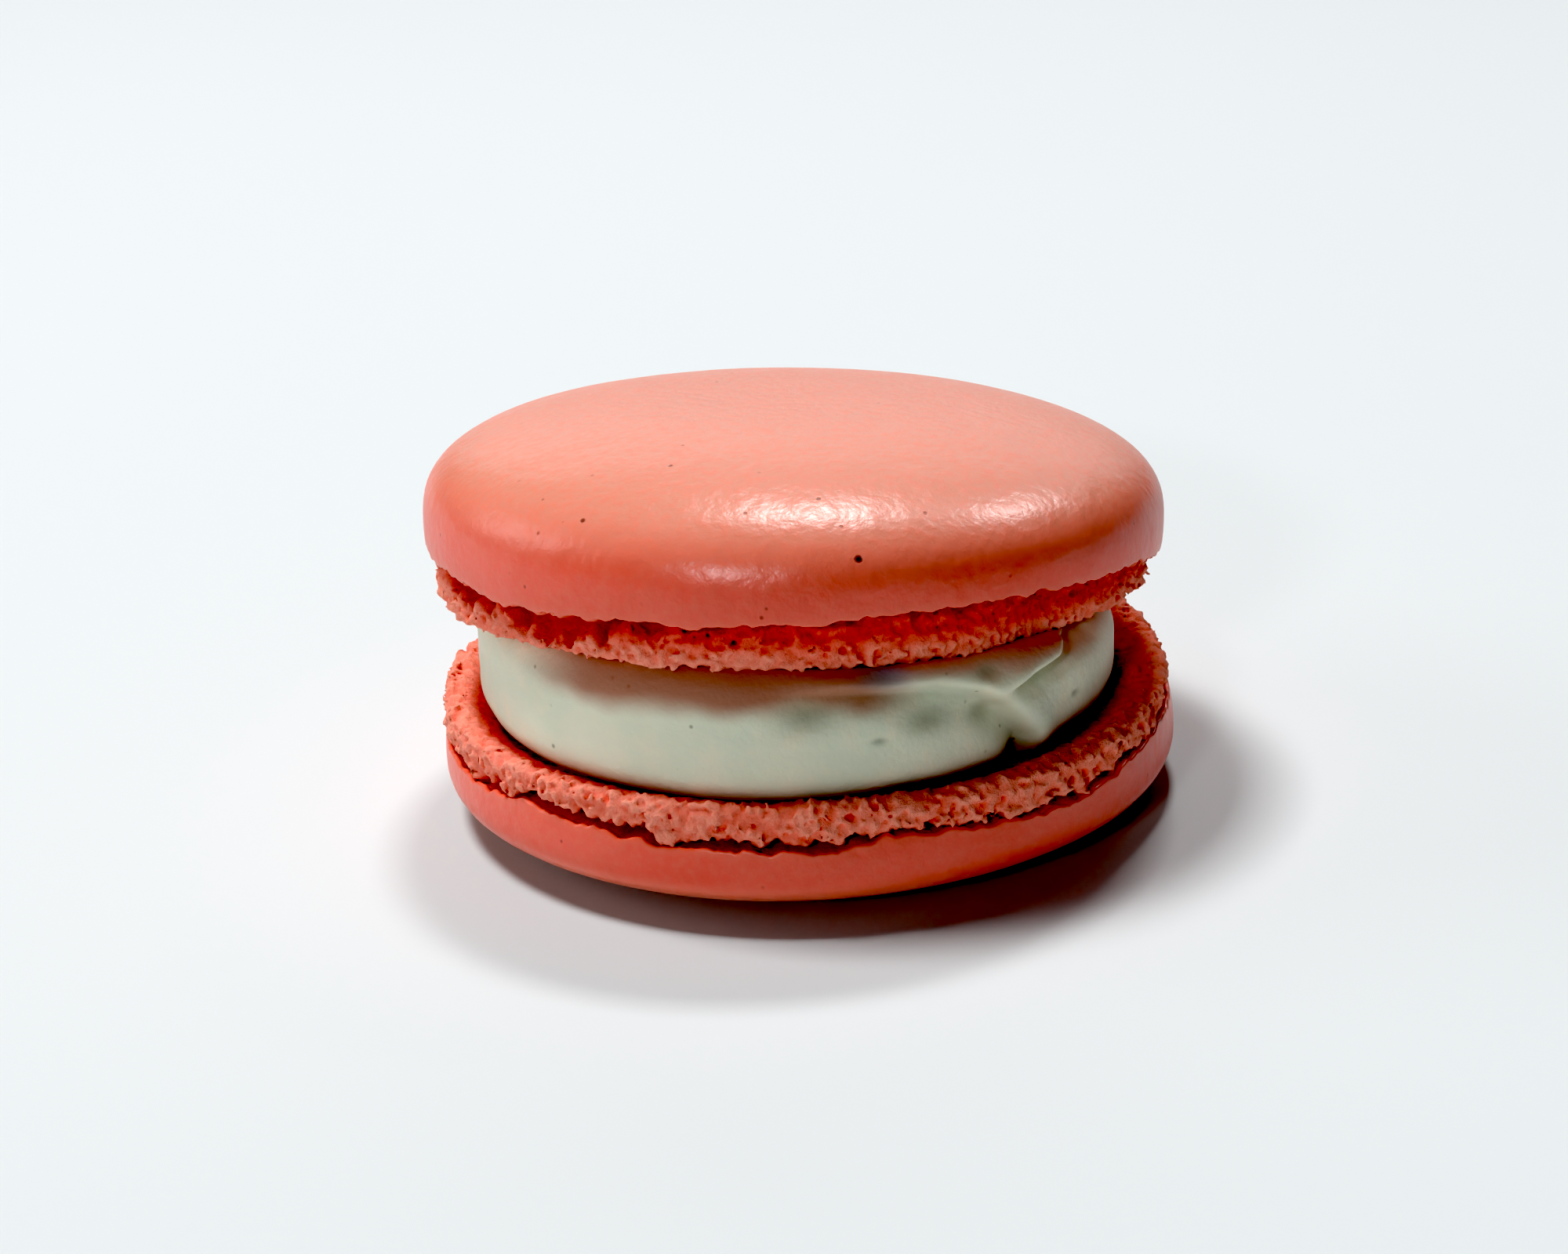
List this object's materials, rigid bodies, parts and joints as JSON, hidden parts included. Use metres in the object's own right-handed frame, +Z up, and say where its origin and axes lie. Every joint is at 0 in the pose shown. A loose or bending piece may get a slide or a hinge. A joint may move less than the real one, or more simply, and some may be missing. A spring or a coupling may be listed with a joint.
{
  "type": "french macaron",
  "caption": "Sandwich biscuit: a domed, craggy-footed meringue shell leaning on a thick round of pale cream over an upturned shell.",
  "frame": {"origin": "centre of the underside of the macaron's bounding box, on the surface it stands on", "axes": "+Z up; -Y is the side the picture faces, where the two shells gape; +X is the picture's right"},
  "size_m": [0.0448, 0.0454, 0.0251],
  "materials": {
    "shell": "satin baked meringue skin, crumbly where it is broken",
    "cream": "soft smooth cream"
  },
  "bodies": {
    "root": {"top_shell": "shell", "filling": "cream", "bottom_shell": "shell"}
  },
  "joints": []
}
